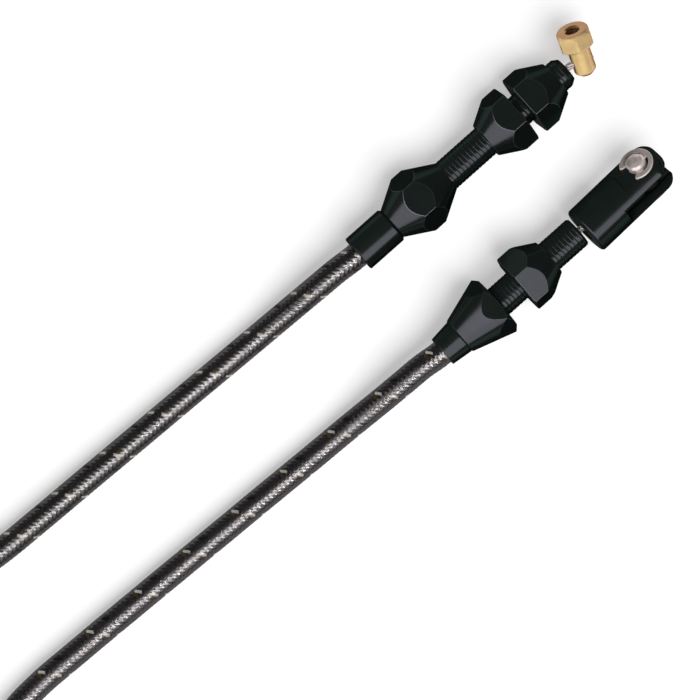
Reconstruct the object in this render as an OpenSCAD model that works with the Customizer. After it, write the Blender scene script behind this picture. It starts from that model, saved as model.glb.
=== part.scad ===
// Braided control cable with threaded ends.
// Both ends lie side by side along +X and the spare sheath is put away in a coil behind them.
// Origin: on the axis of the stop end, in the plane where its rear jam nut meets the bracket.
// +X runs out of both ends, +Y from the clevis end towards the stop end, +Z up from the table.

/* [Sheath] */
// Outside diameter of the braided sheath
sheath_d = 6.35; // [5.6:0.05:6.6]
// Bore of the braided sheath, which holds the liner
sheath_bore_d = 4.2; // [3.9:0.1:4.6]
// Outside diameter of the nylon liner
liner_d = 3.4; // [3.0:0.1:3.6]
// Bore of the nylon liner
liner_bore_d = 2.1; // [2.0:0.05:2.3]
// Diameter of the stranded inner wire
wire_d = 1.8; // [1.5:0.05:1.85]

/* [Coil] */
// Radius of the first turn of the coil, at the middle of the sheath
coil_r = 27.5; // [26:0.5:31]
// Space between turns that lie on each other
coil_gap = 0.5; // [0.45:0.05:0.8]
// Width of the tie that holds the turns together
tie_w = 9; // [5:0.5:14]
// Thickness of the tie
tie_t = 0.6; // [0.4:0.1:0.9]

/* [Thread and hexagon] */
// Major diameter of both threaded shanks
thread_d = 7.94; // [7.4:0.02:8.4]
// Width across the flats of both bodies and all nuts
hex_af = 14.1; // [13.4:0.1:14.6]
// Slope of the cones of the nuts and of the double cone
cone_angle = 30; // [26:1:34]
// Length of the chamfer at the end of each shank
shank_chamfer_len = 1.4; // [0.8:0.1:2]
// Depth of the chamfer at the end of each shank
shank_chamfer_depth = 0.9; // [0.5:0.1:1.1]

/* [Jam nuts] */
// Length of each nut
nut_len = 9.9; // [8.5:0.1:10.4]
// Diameter of the small end of the nut's cone
nut_nose_d = 9.4; // [9:0.1:10.2]
// Depth of the chamfer round the nut's flat face
nut_chamfer = 0.5; // [0.3:0.1:0.9]
// Space between the two nuts of the stop end, where a bracket goes
bracket_gap = 2.3; // [2.2:0.1:3.2]
// How far the rear nut is turned about its axis
rear_nut_turn = -8; // [-12:1:0]
// How far the front nut is turned about its axis
front_nut_turn = -5; // [-7:1:0]
// How far the clevis end's nut is turned about its axis
clevis_nut_turn = 16; // [8:1:20]

/* [Stop end] */
// Length of the shank in front of the bracket plane
stop_shank_ahead = 15.6; // [15:0.1:18]
// Length of the shank behind the bracket plane
stop_shank_behind = 22.6; // [20:0.1:26]
// Length of the body's hexagon between its two cones
body_edge = 3.1; // [2.6:0.1:5]
// Diameter of the neck where the body meets its ferrule
neck_d = 8.4; // [8:0.1:9]
// Diameter of the crimped ferrule
ferrule_d = 9.4; // [9:0.1:10]
// Length of the crimped ferrule that shows
ferrule_len = 10.9; // [9:0.1:13]
// Depth of the chamfers of the ferrule
ferrule_chamfer = 0.5; // [0.2:0.1:0.8]

/* [Clevis end] */
// Length of the shank in front of the tapered body
clevis_shank = 25.6; // [23:0.1:28]
// Length of the tapered body
taper_len = 12.2; // [10:0.1:14]
// Diameter of the tapered body's small end
taper_small_d = 9.6; // [9.4:0.1:10.4]
// Chamfer round the tapered body's front face
face_chamfer = 1.2; // [0.6:0.1:1.6]
// Diameter of the collar where the sheath enters it
collar_small_d = 7.8; // [7.5:0.1:8.4]
// Diameter of the collar where it meets the tapered body
collar_large_d = 9.0; // [8.8:0.1:9.4]
// Length of the collar that shows
collar_len = 5.4; // [4.5:0.1:7]
// Distance from the tapered body's face to the flat face of its nut
clevis_nut_gap = 6.4; // [5:0.1:9]

/* [Ferrule spigots] */
// Diameter of the spigots that join the ferrules to the bodies
spigot_d = 7.0; // [6.6:0.1:7.2]
// Length of the spigots
spigot_len = 5; // [4:0.5:6]

/* [Clevis] */
// Diameter of the clevis
clevis_d = 12.5; // [12.2:0.1:13]
// Distance from the rear face of the clevis to its pin
clevis_pin_x = 19.4; // [18:0.1:22]
// Radius of the rounded ends of the ears about the pin
ear_r = 6.1; // [5.6:0.1:6.4]
// Distance from the rear face of the clevis to the root of its slot
slot_root_x = 9.7; // [9.2:0.1:11]
// Width of the slot between the ears
slot_w = 5.2; // [4.6:0.1:5.4]
// Chamfer round the rear face of the clevis
clevis_chamfer = 0.5; // [0.3:0.1:1.3]
// Radius that rounds the front end of the clevis all round
clevis_nose_r = 4.5; // [3.5:0.1:5]
// Width across the two flats that the pin's head and the clip bear on
clevis_flats = 10.2; // [9.8:0.1:10.8]
// Diameter of the wire's hole in the clevis
clevis_hole_d = 4.8; // [4.7:0.1:4.9]
// Space between the end of the shank and the clevis
clevis_gap = 1.1; // [1.0:0.1:1.6]

/* [Wire terminal] */
// Diameter of the terminal pressed on the wire
terminal_d = 5.2; // [5.1:0.1:5.4]
// Length of the terminal
terminal_len = 3.6; // [3:0.1:3.8]

/* [Clevis pin] */
// Diameter of the pin
pin_d = 4.76; // [4.5:0.01:4.9]
// Diameter of the pin's head
pin_head_d = 7.9; // [7.2:0.1:8.2]
// Thickness of the pin's head
pin_head_t = 0.9; // [0.7:0.1:1]
// Length of the pin beyond its clip
pin_tip = 1.5; // [1:0.1:2]
// Diameter of the groove for the clip
groove_d = 3.7; // [3.4:0.1:3.9]
// Outside diameter of the clip
clip_d = 8.4; // [8:0.1:8.8]
// Thickness of the clip
clip_t = 0.64; // [0.5:0.02:0.8]
// Width of the clip's ring
clip_ring_w = 1.15; // [0.9:0.05:1.4]
// Width of the clip's opening
clip_mouth = 3.3; // [2.8:0.1:3.5]

/* [Wire stop] */
// Width across the flats of the stop's head
stop_af = 7.94; // [7.6:0.02:8.4]
// Length of the stop's head with its chamfers
stop_head_len = 5.2; // [4.8:0.1:5.6]
// Diameter of the stop's shank
stop_shank_d = 5.6; // [5.2:0.1:6]
// Length of the stop's shank below the head
stop_shank_len = 7.1; // [6.8:0.1:8]
// Distance from the end of the stop's shank to the wire's hole
stop_hole_up = 3.8; // [3.4:0.1:4.2]
// Diameter of the threaded bore for the screw
stop_bore_d = 3.3; // [3:0.1:3.6]
// Length of the screw that clamps the wire
screw_len = 3.6; // [3:0.1:4.4]
// Angle of the wire's bend in front of the shank
wire_bend = 16; // [12:0.5:22]
// Direction of that bend about the shank's axis, counted from +Y
wire_bend_turn = 196.5; // [186:0.5:206]
// How far the stop is turned about the bent wire
stop_turn = 107.5; // [98:0.5:116]
// How far the stop's hexagon is turned about its own axis
stop_hex_turn = 26; // [16:1:36]
// Length of bent wire between the bend and the stop's axis
wire_to_stop = 2.8; // [2.5:0.1:4]

/* [Fits] */
// Clearance round a part that turns or slides
run_gap = 0.05; // [0.03:0.01:0.09]
// Clearance between parts that are pressed or crimped together
seat_gap = 0.05; // [0.03:0.01:0.1]
// Clearance between neighbours that don't touch
clear_gap = 0.3; // [0.25:0.05:0.4]

/* [Hidden] */
$fn = 64;

// Radii and hexagon corners
sheath_r = sheath_d / 2;
liner_r = liner_d / 2;
liner_bore_r = liner_bore_d / 2;
wire_r = wire_d / 2;
thread_r = thread_d / 2;
hex_corner_r = hex_af / 2 / cos(30);
stop_corner_r = stop_af / 2 / cos(30);
past = 1;

// Heights: the rear nut's and the clevis nut's lowest corners stand on the table
table_z = -hex_corner_r * cos(30 + rear_nut_turn);
clevis_end_z = table_z + hex_corner_r * cos(30 - clevis_nut_turn);
rest_z = table_z + sheath_r;

// Stop end, along X from the bracket plane
stop_nose_x = stop_shank_ahead;
body_cone_x = -stop_shank_behind;
body_edge_front = body_cone_x - (hex_corner_r - thread_r) / tan(cone_angle);
body_edge_rear = body_edge_front - body_edge;
neck_x = body_edge_rear - (hex_corner_r - neck_d / 2) / tan(cone_angle);
stop_mouth_x = neck_x - ferrule_len;

// Clevis end: its own frame has x = 0 at the tapered body's front face
clevis_end_x = -33.5;
clevis_end_y = -30.7;
collar_x = -taper_len;
clevis_mouth_x = collar_x - collar_len;
wire_run_x = clevis_shank + clevis_gap;

// Clevis: offset, tilt and turn of the loosely held clevis against its shank
clevis_offset_y = -1.25;
clevis_offset_z = 0.6;
clevis_yaw = 2;
clevis_droop = 1;
clevis_roll = -38;
terminal_play = 1.5;
counterbore_len = terminal_len + 2 * clear_gap;

// Clip and pin heights, from the axis of the clevis
clip_z = clevis_flats / 2 + run_gap;
pin_end_z = clip_z + clip_t + run_gap + pin_tip;

// Bent wire: the bend starts in front of the shank
bend_x = 0.9;
bend_r = 3;
wire_past_stop = 0.8;
wire_inner_len = 40;
wire_play = 4;

// The sheath's route, in [x, y, height above the table's level for a lying sheath]
stop_lift = -rest_z;
clevis_lift = clevis_end_z - rest_z;
stop_route = [
    [-57, 0.42, stop_lift * 0.97], [-63, 0.62, stop_lift * 0.8], [-69, 0.84, stop_lift * 0.55],
    [-75, 1.04, stop_lift * 0.28], [-82, 1.26, stop_lift * 0.08], [-92, 1.58, 0], [-105, 2.0, 0],
    [-120, 2.42, 0], [-135, 2.88, 0], [-150, 3.3, 0], [-162, 3.8, 0], [-172, 5.0, 0],
    [-181, 7.5, 0], [-189.5, 11.5, 0.2]
];
clevis_route = [
    [-186, -27.3, 0.2], [-177, -26.2, 0], [-165, -26.38, 0], [-150, -26.84, 0], [-135, -27.38, 0],
    [-120, -27.92, 0], [-105, -28.45, 0], [-92, -28.96, 0], [-82, -29.28, clevis_lift * 0.08],
    [-75, -29.54, clevis_lift * 0.28], [-69, -29.8, clevis_lift * 0.55],
    [-63, -29.98, clevis_lift * 0.8], [-57, -30.15, clevis_lift * 0.97]
];

// Coil: one turn that climbs on itself and then rolls off outwards
coil_x = -217;
coil_y = -4;
coil_pitch = sheath_d + coil_gap;
coil_from = 60;
coil_to = 660;
climb_from = 296;
climb_to = 384;
roll_from = 480;
roll_to = 640;
loop_rings = 24;
free_sides = 8;
coil_sides = 6;

function smooth(t) = let (u = min(max(t, 0), 1)) u * u * (3 - 2 * u);
function between(a, from, to) = smooth((a - from) / (to - from));

// A point on the middle of the coiled sheath at angle a
function coil_at(a) = let (
    roll = 90 * between(a, roll_from, roll_to),
    upper = a >= climb_to,
    r = coil_r + (upper ? coil_pitch * sin(roll) : 0),
    up = upper ? coil_pitch * cos(roll) : coil_pitch * between(a, climb_from, climb_to)
) [coil_x + r * cos(a), coil_y + r * sin(a), rest_z + tie_t + seat_gap + up];

function along(a) = let (v = coil_at(a + 0.5) - coil_at(a - 0.5)) v / norm(v);
coil_start = coil_at(coil_from) - sheath_d * along(coil_from + 0.5);
coil_end = coil_at(coil_to) + sheath_d * along(coil_to - 0.5);
coil_route = [for (a = [coil_from : 360 / loop_rings : coil_to]) coil_at(a)];
coil_path = concat([coil_start], coil_route, [coil_end]);

// The whole route in millimetres, from the stop end's ferrule to the clevis end's
stop_seat_x = neck_x - seat_gap;
clevis_seat_x = clevis_end_x + collar_x - seat_gap;
stop_path = concat([[stop_seat_x, 0, 0], [stop_mouth_x - past, 0, 0]],
    [for (p = stop_route) [p[0], p[1], rest_z + p[2]]],
    [coil_start - past * along(coil_from + 0.5), coil_start]);
clevis_path = concat([coil_end, coil_end + past * along(coil_to - 0.5)],
    [for (p = clevis_route) [p[0], p[1], rest_z + p[2]]],
    [[clevis_end_x + clevis_mouth_x - past, clevis_end_y, clevis_end_z],
    [clevis_seat_x, clevis_end_y, clevis_end_z]]);
whole_path = concat(stop_path, coil_route, clevis_path);

function length_of(path) = let (steps = [for (i = [1 : len(path) - 1]) norm(path[i] - path[i - 1])])
    steps * [for (s = steps) 1];
echo(sheath_length = length_of(whole_path));

// Least gap between one part of the coil and the rest, measured on points 6 degrees apart
gap_step = 6;
gap_apart = 90;
coil_points = [for (a = [coil_from : gap_step : coil_to]) coil_at(a)];
last_point = len(coil_points) - 1;
least_gap = min([for (i = [0 : last_point], j = [i + gap_apart / gap_step : 1 : last_point])
    norm(coil_points[i] - coil_points[j])]) - sheath_d;
echo(least_coil_gap = least_gap);

// Direction of the path at point i, and the two directions square to it
function heading(path, i) = let (
    a = path[max(i - 1, 0)],
    b = path[min(i + 1, len(path) - 1)],
    v = b - a
) v / norm(v);
function end_heading(path, i) = i == 0 ? heading([path[0], path[1]], 0)
    : i == len(path) - 1 ? heading([path[i - 1], path[i]], 1) : heading(path, i);
function across(d) = let (v = cross([0, 0, 1], d)) v / norm(v);

function ring(path, i, r, sides) = let (
    d = end_heading(path, i),
    side = across(d),
    up = cross(d, side)
) [for (k = [0 : sides - 1]) let (t = (k + 0.5) * 360 / sides) path[i] + r * (cos(t) * side + sin(t) * up)];

// A solid tube along a path, made of triangles
module swept_rod(path, r, sides) {
    rings = len(path);
    points = [for (i = [0 : rings - 1]) each ring(path, i, r, sides)];
    walls = [for (i = [0 : rings - 2], k = [0 : sides - 1]) let (
        a = i * sides + k,
        b = i * sides + (k + 1) % sides
    ) each [[a, b, b + sides], [a, b + sides, a + sides]]];
    first_cap = [for (k = [1 : sides - 2]) [0, k + 1, k]];
    last = (rings - 1) * sides;
    last_cap = [for (k = [1 : sides - 2]) [last, last + k, last + k + 1]];
    polyhedron(points, concat(walls, first_cap, last_cap));
}

// A hollow tube along a path, made of triangles
module swept_tube(path, r_out, r_in, sides) {
    rings = len(path);
    outer = [for (i = [0 : rings - 1]) each ring(path, i, r_out, sides)];
    inner = [for (i = [0 : rings - 1]) each ring(path, i, r_in, sides)];
    shift = rings * sides;
    faces = [for (i = [0 : rings - 2], k = [0 : sides - 1]) let (
        a = i * sides + k,
        b = i * sides + (k + 1) % sides
    ) each [[a, b, b + sides], [a, b + sides, a + sides],
        [a + shift, b + sides + shift, b + shift], [a + shift, a + sides + shift, b + sides + shift]]];
    caps = [for (i = [0, rings - 1], k = [0 : sides - 1]) let (
        a = i * sides + k,
        b = i * sides + (k + 1) % sides,
        first = i == 0
    ) each (first ? [[a, b + shift, b], [a, a + shift, b + shift]]
        : [[a, b, b + shift], [a, b + shift, a + shift]])];
    polyhedron(concat(outer, inner), concat(faces, caps));
}

// A turned solid about the X axis, from points [x, r]
module turned(profile) {
    rotate([0, 90, 0])
        rotate_extrude()
            polygon([for (p = profile) [p[1], p[0]]]);
}

// A cylinder about the X axis, from x = from to x = to
module bar(from, to, r) {
    translate([from, 0, 0])
        rotate([0, 90, 0])
            cylinder(h = to - from, r = r);
}

// A hexagonal bar about the X axis, with a flat on top when turn is 0
module hex_bar(from, to, corner_r, turn) {
    translate([from, 0, 0])
        rotate([turn, 0, 0])
            rotate([0, 90, 0])
                rotate([0, 0, 30])
                    cylinder(h = to - from, r = corner_r, $fn = 6);
}

// Nut with a flat face at x = 0 and a cone towards +X
module jam_nut(turn) {
    cone_r = hex_corner_r + past;
    cone_start = nut_len - (cone_r - nut_nose_d / 2) / tan(cone_angle);
    face_r = hex_corner_r - nut_chamfer;
    difference() {
        intersection() {
            hex_bar(0, nut_len, hex_corner_r, turn);
            turned([[0, 0], [0, face_r], [(cone_r - face_r) * tan(cone_angle), cone_r],
                [cone_start, cone_r], [nut_len, nut_nose_d / 2], [nut_len, 0]]);
        }
        bar(-past, nut_len + past, thread_r + run_gap);
    }
}

// Threaded shank with a chamfered end, and the bore for the liner
module shank(from, to) {
    turned([[from, 0], [from, thread_r], [to - shank_chamfer_len, thread_r],
        [to, thread_r - shank_chamfer_depth], [to, 0]]);
}

// Inner bores of a body: for the liner all the way, and for the ferrule's spigot at the rear
module body_bores(rear, nose) {
    bar(rear - past, nose + past, liner_r + seat_gap);
    bar(rear - past, rear + spigot_len + seat_gap, spigot_d / 2 + seat_gap);
}

module stop_body() {
    cone_r = hex_corner_r + past;
    more = past / tan(cone_angle);
    color([0.09, 0.11, 0.11])
        difference() {
            union() {
                intersection() {
                    hex_bar(neck_x, body_cone_x + past, hex_corner_r, 0);
                    turned([[neck_x, 0], [neck_x, neck_d / 2], [body_edge_rear + more, cone_r],
                        [body_edge_front - more, cone_r], [body_cone_x, thread_r],
                        [body_cone_x + past, thread_r], [body_cone_x + past, 0]]);
                }
                shank(body_cone_x, stop_nose_x);
            }
            body_bores(neck_x, stop_nose_x);
        }
}

// Crimped ferrule: holds the sheath and plugs into the body in front of it
module ferrule(mouth, shoulder, profile) {
    difference() {
        union() {
            turned(profile);
            bar(shoulder - past, shoulder + spigot_len, spigot_d / 2);
        }
        bar(mouth - past, shoulder, sheath_r + seat_gap);
        bar(mouth - past, shoulder + spigot_len + past, liner_r + seat_gap);
    }
}

module stop_ferrule() {
    r = ferrule_d / 2;
    color([0.09, 0.11, 0.11])
        ferrule(stop_mouth_x, neck_x, [[stop_mouth_x, 0], [stop_mouth_x, r - ferrule_chamfer / 2],
            [stop_mouth_x + ferrule_chamfer / 2, r], [neck_x - ferrule_chamfer - seat_gap, r],
            [neck_x - seat_gap, neck_d / 2], [neck_x - seat_gap, 0]]);
}

module at_clevis_end() {
    translate([clevis_end_x, clevis_end_y, clevis_end_z])
        children();
}

module clevis_body() {
    taper_r = taper_small_d / 2;
    corner_x = -face_chamfer;
    slope = (hex_corner_r - taper_r) / (corner_x - collar_x);
    rear_edge = 0.3;
    color([0.09, 0.11, 0.11])
        at_clevis_end()
            difference() {
                union() {
                    intersection() {
                        hex_bar(collar_x, 0, hex_corner_r, 0);
                        turned([[collar_x, 0], [collar_x, taper_r - rear_edge],
                            [collar_x + rear_edge, taper_r], [corner_x, hex_corner_r + rear_edge * slope],
                            [0, hex_corner_r - face_chamfer], [0, 0]]);
                    }
                    shank(-past, clevis_shank);
                }
                body_bores(collar_x, clevis_shank);
            }
}

module clevis_ferrule() {
    color([0.09, 0.11, 0.11])
        at_clevis_end()
            ferrule(clevis_mouth_x, collar_x, [[clevis_mouth_x, 0], [clevis_mouth_x, collar_small_d / 2],
                [collar_x - seat_gap, collar_large_d / 2], [collar_x - seat_gap, 0]]);
}

// Nylon liner of a body, set back a little from the shank's end
module end_liner(from, to) {
    difference() {
        bar(from, to, liner_r);
        bar(from - past, to + past, liner_bore_r);
    }
}

module stop_liner() {
    color("ivory")
        end_liner(neck_x + seat_gap, stop_nose_x - clear_gap);
}

module clevis_liner() {
    color("ivory")
        at_clevis_end()
            end_liner(collar_x + seat_gap, clevis_shank - clear_gap);
}

module rear_jam_nut() {
    color([0.09, 0.11, 0.11])
        mirror([1, 0, 0])
            jam_nut(rear_nut_turn);
}

module front_jam_nut() {
    color([0.09, 0.11, 0.11])
        translate([bracket_gap, 0, 0])
            jam_nut(front_nut_turn);
}

module clevis_jam_nut() {
    color([0.09, 0.11, 0.11])
        at_clevis_end()
            translate([clevis_nut_gap, 0, 0])
                jam_nut(clevis_nut_turn);
}

// Frame at the start of the wire's bend, with the bend towards local +Y
module at_bend() {
    translate([stop_nose_x + bend_x, 0, 0])
        rotate([wire_bend_turn, 0, 0])
            children();
}

// Frame on the bent wire, distance d past the bend's end, with the wire along local +X
module past_bend(d) {
    at_bend()
        translate([0, bend_r, 0])
            rotate([0, 0, wire_bend])
                translate([d, -bend_r, 0])
                    children();
}

module stop_wire() {
    color("silver") {
        bar(stop_nose_x - wire_inner_len, stop_nose_x + bend_x, wire_r);
        at_bend()
            translate([0, bend_r, 0])
                rotate([0, 0, -90])
                    rotate_extrude(angle = wire_bend)
                        translate([bend_r, 0])
                            circle(r = wire_r);
        past_bend(0)
            bar(0, wire_to_stop + stop_shank_d / 2 + wire_past_stop, wire_r);
    }
}

// Frame of the wire stop: origin where its axis crosses the wire, its axis along local +Z
module at_stop() {
    past_bend(wire_to_stop)
        rotate([stop_turn, 0, 0])
            children();
}

module cable_stop() {
    top = stop_head_len + stop_shank_len - stop_hole_up;
    under = stop_shank_len - stop_hole_up;
    foot = -stop_hole_up;
    shank_r = stop_shank_d / 2;
    foot_chamfer = 0.8;
    top_r = stop_af / 2 - 0.15;
    under_r = stop_af / 2 - 0.3;
    rim = tan(cone_angle);
    wide = stop_corner_r + past;
    mouth_depth = 0.4;
    bore_r = stop_bore_d / 2;
    color([0.83, 0.69, 0.4])
        at_stop()
            difference() {
                union() {
                    intersection() {
                        translate([0, 0, under])
                            rotate([0, 0, stop_hex_turn])
                                cylinder(h = stop_head_len, r = stop_corner_r, $fn = 6);
                        rotate_extrude()
                            polygon([[0, under], [under_r, under], [wide, under + (wide - under_r) * rim],
                                [wide, top - (wide - top_r) * rim], [top_r, top], [0, top]]);
                    }
                    rotate_extrude()
                        polygon([[0, foot], [shank_r - foot_chamfer, foot], [shank_r, foot + foot_chamfer],
                            [shank_r, under + past], [0, under + past]]);
                }
                translate([0, 0, -wire_r])
                    cylinder(h = top + past, r = bore_r);
                translate([0, 0, top - mouth_depth])
                    cylinder(h = 2 * mouth_depth, r1 = bore_r, r2 = bore_r + 2 * mouth_depth);
                bar(-shank_r - past, shank_r + past, wire_r + clear_gap / 3);
            }
}

module stop_screw() {
    socket_af = 1.6;
    socket_depth = 1.4;
    tip = wire_r + run_gap;
    color([0.35, 0.35, 0.37])
        at_stop()
            difference() {
                translate([0, 0, tip])
                    cylinder(h = screw_len, r = stop_bore_d / 2 - run_gap);
                translate([0, 0, tip + screw_len - socket_depth])
                    cylinder(h = socket_depth + past, r = socket_af / 2 / cos(30), $fn = 6);
            }
}

// The clevis end's wire runs straight into the clevis
module at_clevis_wire() {
    at_clevis_end()
        translate([wire_run_x, 0, 0])
            children();
}

terminal_x = slot_root_x - counterbore_len + clear_gap;

module clevis_wire() {
    color("silver")
        at_clevis_wire()
            bar(-wire_inner_len + wire_run_x - clevis_shank, terminal_x + terminal_len / 2, wire_r);
}

module wire_terminal() {
    edge = 0.4;
    r = terminal_d / 2;
    color("silver")
        at_clevis_wire()
            difference() {
                turned([[terminal_x, 0], [terminal_x, r - edge], [terminal_x + edge, r],
                    [terminal_x + terminal_len - edge, r], [terminal_x + terminal_len, r - edge],
                    [terminal_x + terminal_len, 0]]);
                bar(terminal_x - past, terminal_x + terminal_len / 2 + seat_gap, wire_r + seat_gap);
            }
}

// Frame of the clevis: rear face at x = 0, pin along local Z
module at_clevis() {
    at_clevis_wire()
        translate([0, clevis_offset_y, clevis_offset_z])
            rotate([clevis_roll, clevis_droop, clevis_yaw])
                children();
}

module clevis() {
    r = clevis_d / 2;
    tip_x = clevis_pin_x + ear_r;
    cut = clevis_d + 2 * past;
    flats_back = 6.3;
    nose_step = 15;
    nose = [for (a = [0 : nose_step : 90])
        [tip_x - clevis_nose_r * (1 - sin(a)), r - clevis_nose_r * (1 - cos(a))]];
    color([0.09, 0.11, 0.11])
        at_clevis()
            difference() {
                intersection() {
                    turned(concat([[0, 0], [0, r - clevis_chamfer], [clevis_chamfer, r]], nose,
                        [[tip_x, 0]]));
                    union() {
                        translate([-past, -cut / 2, -cut / 2])
                            cube([clevis_pin_x + past, cut, cut]);
                        translate([clevis_pin_x, 0, -cut / 2])
                            cylinder(h = cut, r = ear_r);
                    }
                }
                translate([slot_root_x, -cut / 2, -slot_w / 2])
                    cube([tip_x, cut, slot_w]);
                for (side = [0, 180])
                    rotate([side, 0, 0])
                        translate([clevis_pin_x - flats_back, -cut / 2, clevis_flats / 2])
                            cube([tip_x, cut, r]);
                translate([clevis_pin_x, 0, -cut / 2])
                    cylinder(h = cut, r = pin_d / 2 + run_gap);
                bar(-past, slot_root_x + past, clevis_hole_d / 2);
                bar(slot_root_x - counterbore_len, slot_root_x + past, terminal_d / 2 + terminal_play);
            }
}

module at_pin() {
    at_clevis()
        translate([clevis_pin_x, 0, 0])
            children();
}

module clevis_pin() {
    r = pin_d / 2;
    head_z = -clevis_flats / 2 - run_gap;
    dome = 0.5;
    groove_r = groove_d / 2;
    groove_from = clip_z - run_gap;
    groove_to = clip_z + clip_t + run_gap;
    color("silver")
        at_pin()
            rotate_extrude()
                polygon([[0, head_z - pin_head_t], [pin_head_d / 2 - dome, head_z - pin_head_t],
                    [pin_head_d / 2, head_z - pin_head_t + dome], [pin_head_d / 2, head_z], [r, head_z],
                    [r, groove_from], [groove_r, groove_from], [groove_r, groove_to], [r, groove_to],
                    [r, pin_end_z - dome], [r - dome, pin_end_z], [0, pin_end_z]]);
}

module pin_clip() {
    r = clip_d / 2;
    lug_w = 1.9;
    lug_turn = 100;
    color("silver")
        at_pin()
            translate([0, 0, clip_z])
                linear_extrude(clip_t)
                    difference() {
                        union() {
                            difference() {
                                circle(r = r);
                                circle(r = r - clip_ring_w);
                            }
                            for (a = [-lug_turn, 0, lug_turn])
                                rotate(a)
                                    translate([groove_d / 2, -lug_w / 2])
                                        square([r - groove_d / 2 - clip_ring_w / 2, lug_w]);
                        }
                        circle(r = groove_d / 2 + run_gap);
                        translate([-r - past, -clip_mouth / 2])
                            square([r + past, clip_mouth]);
                    }
}

module sheath_stop_run() {
    color([0.13, 0.13, 0.14])
        swept_tube(stop_path, sheath_r, sheath_bore_d / 2, free_sides);
}

module sheath_clevis_run() {
    color([0.13, 0.13, 0.14])
        swept_tube(clevis_path, sheath_r, sheath_bore_d / 2, free_sides);
}

module sheath_coil() {
    color([0.13, 0.13, 0.14])
        swept_tube(coil_path, sheath_r, sheath_bore_d / 2, coil_sides);
}

module sheath_liner() {
    color("ivory")
        swept_tube(whole_path, liner_r, liner_bore_r, coil_sides);
}

module inner_wire() {
    trimmed = concat([[stop_nose_x - wire_inner_len - wire_play, 0, 0]],
        [for (i = [1 : len(whole_path) - 2]) whole_path[i]],
        [[clevis_end_x + clevis_shank - wire_inner_len - wire_play, clevis_end_y, clevis_end_z]]);
    color("silver")
        swept_rod(trimmed, wire_r, coil_sides);
}

// Tie round the two turns where they lie on each other, wide enough for their curve
module coil_tie() {
    tie_angle = 105;
    bow = tie_w / 2 * tan(180 / loop_rings);
    half_w = sheath_r + seat_gap + bow / 2;
    bottom = -sheath_r - seat_gap;
    top = coil_pitch + sheath_r + seat_gap;
    color([0.2, 0.2, 0.2])
        translate(coil_at(tie_angle))
            rotate([0, 0, tie_angle])
                rotate([90, 0, 0])
                    translate([-bow / 2, 0, 0])
                        linear_extrude(tie_w, center = true)
                            difference() {
                                tie_outline(half_w + tie_t, bottom - tie_t, top + tie_t);
                                tie_outline(half_w, bottom, top);
                            }
}

// Upright rounded rectangle: half width, height of its bottom and of its top
module tie_outline(half_w, bottom, top) {
    corner = 2.5;
    translate([0, (bottom + top) / 2])
        offset(r = corner)
            square([2 * (half_w - corner), top - bottom - 2 * corner], center = true);
}

sheath_stop_run();
sheath_coil();
sheath_clevis_run();
sheath_liner();
inner_wire();
coil_tie();
stop_ferrule();
stop_body();
stop_liner();
rear_jam_nut();
front_jam_nut();
stop_wire();
cable_stop();
stop_screw();
clevis_ferrule();
clevis_body();
clevis_liner();
clevis_jam_nut();
clevis_wire();
wire_terminal();
clevis();
clevis_pin();
pin_clip();
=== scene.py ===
import math

import bpy
import numpy as np
from mathutils import Matrix, Vector


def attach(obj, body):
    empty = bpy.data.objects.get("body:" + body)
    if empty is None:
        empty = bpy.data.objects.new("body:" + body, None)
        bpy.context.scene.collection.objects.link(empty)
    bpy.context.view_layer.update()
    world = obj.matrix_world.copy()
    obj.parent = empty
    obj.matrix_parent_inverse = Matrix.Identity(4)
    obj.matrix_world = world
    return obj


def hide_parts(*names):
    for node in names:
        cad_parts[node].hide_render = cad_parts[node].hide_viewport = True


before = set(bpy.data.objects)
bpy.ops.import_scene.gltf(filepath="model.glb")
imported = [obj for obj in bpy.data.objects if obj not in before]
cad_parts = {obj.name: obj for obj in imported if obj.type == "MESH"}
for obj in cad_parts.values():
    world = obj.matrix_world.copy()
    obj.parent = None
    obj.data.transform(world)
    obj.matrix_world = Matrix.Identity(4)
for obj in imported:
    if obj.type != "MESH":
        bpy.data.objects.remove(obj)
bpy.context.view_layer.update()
mm = 0.001
scene = bpy.context.scene

# Sizes are in millimetres and angles in degrees, except where a note says otherwise
# Camera: straight above, turned so that both ends point up and to the right; clip is in metres
view = {"centre": (-67.23, -15.76), "height": 714.0, "turn": 41.65, "pixels": 700, "pixelsPerMm": 4.2,
    "sensor": 36, "clip": (0.01, 50)}


def addCamera():
    data = bpy.data.cameras.new("camera")
    camera = bpy.data.objects.new("camera", data)
    scene.collection.objects.link(camera)
    x, y = view["centre"]
    camera.location = (x * mm, y * mm, view["height"] * mm)
    camera.rotation_euler = (0, 0, -math.radians(view["turn"]))
    data.sensor_width = view["sensor"]
    data.lens = data.sensor_width * view["height"] / (view["pixels"] / view["pixelsPerMm"])
    data.clip_start, data.clip_end = view["clip"]
    scene.camera = camera


addCamera()
print("camera placed")


# Frames: each takes a piece's own coordinates to the part's
def shift(x, y, z):
    return np.array(Matrix.Translation((x, y, z)))


def turn(axis, degrees):
    return np.array(Matrix.Rotation(math.radians(degrees), 4, axis))


def placed(points, place):
    return points @ place[:3, :3].T + place[:3, 3]


# Where the clevis end and its clevis stand, and the wire's small bend past the stop end's shank
layout = {"clevisEnd": (-33.5, -30.7, 0.351), "clevis": (26.7, -1.25, 0.6),
    "clevisTurns": {"Z": 2, "Y": 1, "X": -38}, "table": -7.5479}
bend = {"start": 16.5, "side": 196.5, "radius": 3.0, "angle": 16.0, "toStop": 2.8, "stopTurn": 107.5}

clevisEnd = shift(*layout["clevisEnd"])
clevisPlace = clevisEnd @ shift(*layout["clevis"])
for axis, degrees in layout["clevisTurns"].items():
    clevisPlace = clevisPlace @ turn(axis, degrees)
bendPlace = shift(bend["start"], 0, 0) @ turn("X", bend["side"])


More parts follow.
